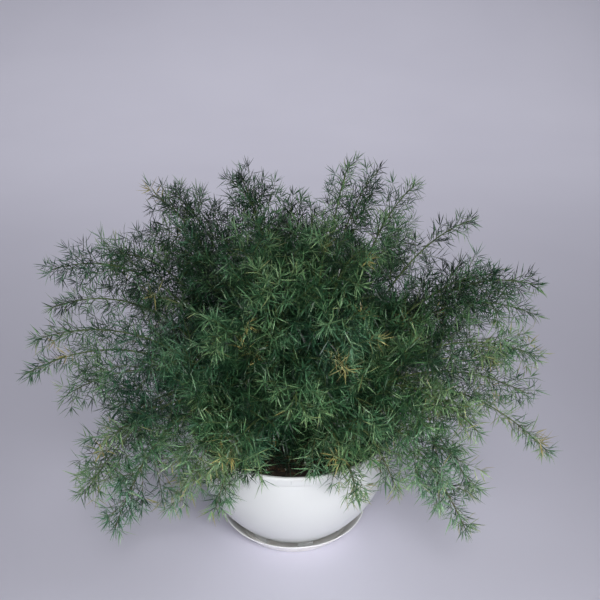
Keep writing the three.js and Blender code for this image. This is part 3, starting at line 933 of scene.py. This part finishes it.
def needle_bed():
    bm = bmesh.new()
    bm.verts.layers.float.new("tone")
    bm.verts.layers.float.new("along")
    return bm


def has_room(line):
    """Whether a line is clear of the pot, and no farther back than the fronds reach."""
    return all(clear_of_pot(point, BRANCHLET_ROOM) and point.y < BACK_REACH for point in line)


def branchlet(stem, distance, share, turn, width, draw):
    """The line of one branchlet and those of its forks, or none where the pot is in the way."""
    root, along = stem.at(distance)
    length = branchlet_length(width, share) * draw.uniform(*BRANCHLET_SIZES)
    droop = DROOP + draw.uniform(*DROOPS)
    for attempt in range(BRANCHLET_TRIES):
        angle = turn + draw.uniform(*BRANCHLET_TURNS) + attempt
        lean = BRANCHLET_LEAN - BRANCHLET_CLOSING * share + draw.uniform(*BRANCHLET_LEANS)
        out = leaning(along, angle, math.radians(lean))
        points = branchlet_path(root, out, along, length, droop, draw)
        if has_room(points):
            break
    else:
        return []
    lines = [points]
    if length < FORK_FROM:
        return lines
    for place in FORKS:
        fork = round(place * (len(points) - 1))
        way = (points[fork + 1] - points[fork]).normalized()
        side = leaning(way, draw.uniform(0, math.tau), math.radians(draw.uniform(*FORK_LEANS)))
        reach = length * (1 - place) * draw.uniform(*FORK_SIZES)
        line = branchlet_path(points[fork], side, way, reach, droop, draw)
        if has_room(line):
            lines.append(line)
    return lines


def grow_frond(number, row):
    draw = random.Random(number)
    width = row[4] * WIDER
    every = BRANCHLET_EVERY + HANGING_EVERY * (1 - min(1, row[2] / HANGING_BELOW))
    stem = Path(stem_path(number, row))
    bm = needle_bed()
    # A frond is paler the lower its tip, as painted light, and deeper the higher, as painted shade.
    frond_tint_and_light = LOW_FROND_PAINTED_LIGHT + (HIGH_FROND_PAINTED_SHADE - LOW_FROND_PAINTED_LIGHT) * row[2] / LIGHT_AND_SHADE_HEIGHT
    frond_tint_and_light += draw.uniform(*FROND_TINTS)
    turn = math.tau * chance(number, TURN_DRAW)
    twigs = []
    start = max(BARE_STEM, BARE_SHARE * stem.length)
    distance = start
    while distance < stem.length - STEM_END:
        share = (distance - start) / (stem.length - start)
        tint = frond_tint_and_light + FROND_PALING * share + draw.uniform(*BRANCHLET_TINTS)
        youth = min(1, YOUTH_FROM - YOUTH_LOSS * share)
        bed = needle_bed()
        for place, line in enumerate(branchlet(stem, distance, share, turn, width, draw)):
            shapes = SLIGHT_NEEDLES if place else MIXED_NEEDLES
            is_dry = draw.random() < DRY_SHARE
            dress(bed, shapes, line, youth, YELLOWING if is_dry else tint, draw)
            last = len(line) - 1
            thin = [TWIG_RADIUS * (1 - TWIG_TAPER * i / last) for i in range(len(line))]
            twigs.append(list(zip(line, thin)))
        join(bm, bed)
        distance += every * draw.uniform(*SPACING) * (SPARSE - CROWDING * share)
        turn += GOLDEN_ANGLE
    tip = needle_bed()
    distance = stem.length - TIP_STRETCH
    index = 0
    while distance < stem.length:
        share = 1 - (stem.length - distance) / TIP_STRETCH
        root, along = stem.at(distance)
        for spoke in range(TIP_COUNT):
            angle = math.radians(WHORL_TURN * index) + spoke * math.tau / TIP_COUNT
            lean = math.radians(TIP_LEAN - TIP_CLOSING * share**2 + draw.uniform(*TIP_LEANS))
            length = (TIP_LENGTH - TIP_SHORTENING * share) * draw.uniform(*TIP_SIZES)
            tone = frond_tint_and_light + TIP_PALING * share
            add_needle(tip, NEEDLES, root, leaning(along, angle, lean), length, tone, draw)
        distance += TIP_EVERY
        index += 1
    join(bm, tip)
    wood = len(bm.faces)
    last = len(stem.points) - 1
    stem_tube = [(p, STEM_FOOT + (STEM_TIP - STEM_FOOT) * i / last) for i, p in enumerate(stem.points)]
    for mesh in (tubes([stem_tube], 2), tubes(twigs, 0)):
        bm.from_mesh(mesh)
        bpy.data.meshes.remove(mesh)
    bm.faces.ensure_lookup_table()
    for face in bm.faces[wood:]:
        face.material_index = 1
        face.smooth = True
    bmesh.ops.scale(bm, vec=(MM, MM, MM), verts=bm.verts)
    return bm


def needle_material():
    material, nodes, links, shader = new_material("needle_green")
    tone = nodes.new("ShaderNodeAttribute")
    tone.attribute_name = "tone"
    along = nodes.new("ShaderNodeAttribute")
    along.attribute_name = "along"
    greens = nodes.new("ShaderNodeValToRGB")
    ramp = greens.color_ramp
    ramp.elements[0].position = 0.0
    ramp.elements[0].color = (0.002, 0.008, 0.004, 1)
    ramp.elements[1].position = 1.0
    ramp.elements[1].color = (0.36, 0.30, 0.10, 1)
    for position, colour in (
        (0.30, (0.005, 0.022, 0.009, 1)),
        (0.44, (0.020, 0.073, 0.028, 1)),
        (0.60, (0.078, 0.188, 0.078, 1)),
        (0.84, (0.232, 0.355, 0.160, 1)),
    ):
        ramp.elements.new(position).color = colour
    paler = nodes.new("ShaderNodeMapRange")
    paler.inputs["From Min"].default_value = 0.3
    paler.inputs["To Max"].default_value = 0.12
    shifted = nodes.new("ShaderNodeMath")
    shifted.operation = "ADD"
    coords = nodes.new("ShaderNodeTexCoord")
    mottle = nodes.new("ShaderNodeTexNoise")
    mottle.inputs["Scale"].default_value = 180
    mottle.inputs["Detail"].default_value = 3
    shade = nodes.new("ShaderNodeMapRange")
    shade.inputs["To Min"].default_value = 0.7
    shade.inputs["To Max"].default_value = 1.3
    mixed = nodes.new("ShaderNodeVectorMath")
    mixed.operation = "SCALE"
    links.new(along.outputs["Fac"], paler.inputs["Value"])
    links.new(tone.outputs["Fac"], shifted.inputs[0])
    links.new(paler.outputs["Result"], shifted.inputs[1])
    links.new(shifted.outputs["Value"], greens.inputs["Fac"])
    links.new(coords.outputs["Object"], mottle.inputs["Vector"])
    links.new(mottle.outputs["Fac"], shade.inputs["Value"])
    links.new(greens.outputs["Color"], mixed.inputs[0])
    links.new(shade.outputs["Result"], mixed.inputs["Scale"])
    drift = nodes.new("ShaderNodeTexNoise")
    drift.inputs["Scale"].default_value = 11
    drift.inputs["Detail"].default_value = 2
    cool = nodes.new("ShaderNodeMapRange")
    cool.inputs["From Min"].default_value = 0.48
    cool.inputs["From Max"].default_value = 0.68
    bluer = nodes.new("ShaderNodeMix")
    bluer.data_type = "RGBA"
    bluer.blend_type = "MULTIPLY"
    bluer.inputs["B"].default_value = (0.88, 1.04, 1.35, 1)
    links.new(coords.outputs["Object"], drift.inputs["Vector"])
    links.new(drift.outputs["Fac"], cool.inputs["Value"])
    links.new(cool.outputs["Result"], bluer.inputs["Factor"])
    links.new(mixed.outputs["Vector"], bluer.inputs["A"])
    links.new(bluer.outputs["Result"], shader.inputs["Base Color"])
    shader.inputs["Roughness"].default_value = 0.34
    shader.inputs["Specular IOR Level"].default_value = 0.5
    return material


def stem_material():
    material, nodes, links, shader = new_material("stem_green")
    coords = nodes.new("ShaderNodeTexCoord")
    streaks = nodes.new("ShaderNodeTexNoise")
    streaks.inputs["Scale"].default_value = 90
    streaks.inputs["Detail"].default_value = 5
    parts = nodes.new("ShaderNodeSeparateXYZ")
    age = nodes.new("ShaderNodeMapRange")
    age.inputs["From Min"].default_value = 0.13
    age.inputs["From Max"].default_value = 0.28
    blend = nodes.new("ShaderNodeMath")
    blend.operation = "MULTIPLY_ADD"
    blend.inputs[1].default_value = 0.5
    tint = nodes.new("ShaderNodeValToRGB")
    tint.color_ramp.elements[0].position = 0.2
    tint.color_ramp.elements[0].color = (0.075, 0.060, 0.022, 1)
    tint.color_ramp.elements[1].position = 0.95
    tint.color_ramp.elements[1].color = (0.085, 0.130, 0.040, 1)
    links.new(coords.outputs["Object"], streaks.inputs["Vector"])
    links.new(coords.outputs["Object"], parts.inputs["Vector"])
    links.new(parts.outputs["Z"], age.inputs["Value"])
    links.new(age.outputs["Result"], blend.inputs[0])
    links.new(streaks.outputs["Fac"], blend.inputs[2])
    links.new(blend.outputs["Value"], tint.inputs["Fac"])
    links.new(tint.outputs["Color"], shader.inputs["Base Color"])
    shader.inputs["Roughness"].default_value = 0.5
    return material


needle_green = needle_material()
stem_green = stem_material()
for number, row in enumerate(frond_rows()):
    node = f"frond_{number + 1:02d}"
    spray = finish(grow_frond(number, row), f"spray_{number + 1:02d}", needle_green, stem_green)
    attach(spray, "root")
    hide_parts(node)
for mesh in NEEDLES + SLIGHT_NEEDLES:
    bpy.data.meshes.remove(mesh)
